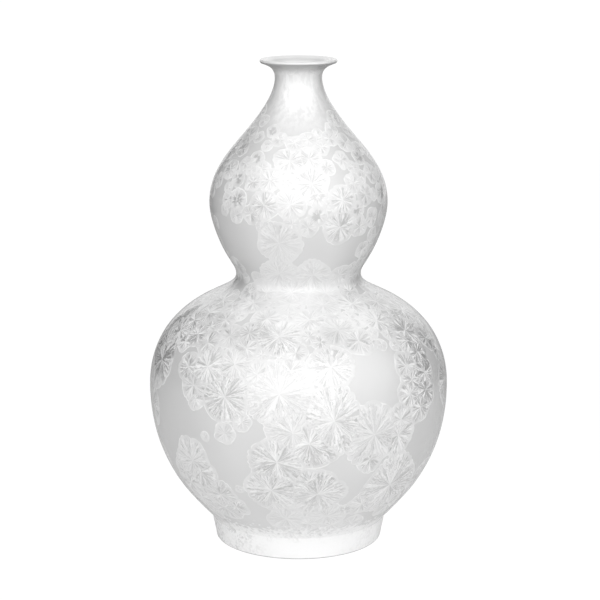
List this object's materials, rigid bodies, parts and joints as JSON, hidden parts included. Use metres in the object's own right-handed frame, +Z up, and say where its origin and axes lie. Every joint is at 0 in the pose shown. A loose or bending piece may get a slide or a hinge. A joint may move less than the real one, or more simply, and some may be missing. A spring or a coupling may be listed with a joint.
{
  "type": "gourd vase",
  "caption": "Double-gourd porcelain vase with a round belly, narrow waist, smaller upper bulb, slim neck, flared mouth and turned foot ring, in a glossy white crystalline glaze.",
  "frame": {"origin": "centre of the ground ring that the vase stands on", "axes": "+Z up along the vase's axis; the vase is a body of revolution, so X and Y are free, with -Y towards the viewer of the picture"},
  "size_m": [0.219, 0.219, 0.355],
  "materials": {
    "crystalline_glaze": "glossy pale grey glaze with white needle crystals in discs and fans",
    "foot_glaze": "white glaze finely speckled with tiny crystals, ground bare on the standing edge",
    "luting_clay": "matt porcelain clay, covered by the glaze on the finished vase"
  },
  "bodies": {
    "root": {"foot_ring": "foot_glaze", "foot_seam_coil": "luting_clay", "lower_bowl": "crystalline_glaze", "belly_seam_coil": "luting_clay", "lower_dome": "crystalline_glaze", "waist_seam_coil": "luting_clay", "upper_bowl": "crystalline_glaze", "upper_seam_coil": "luting_clay", "upper_dome": "crystalline_glaze", "neck_seam_coil": "luting_clay", "neck_and_mouth": "crystalline_glaze"}
  },
  "joints": []
}
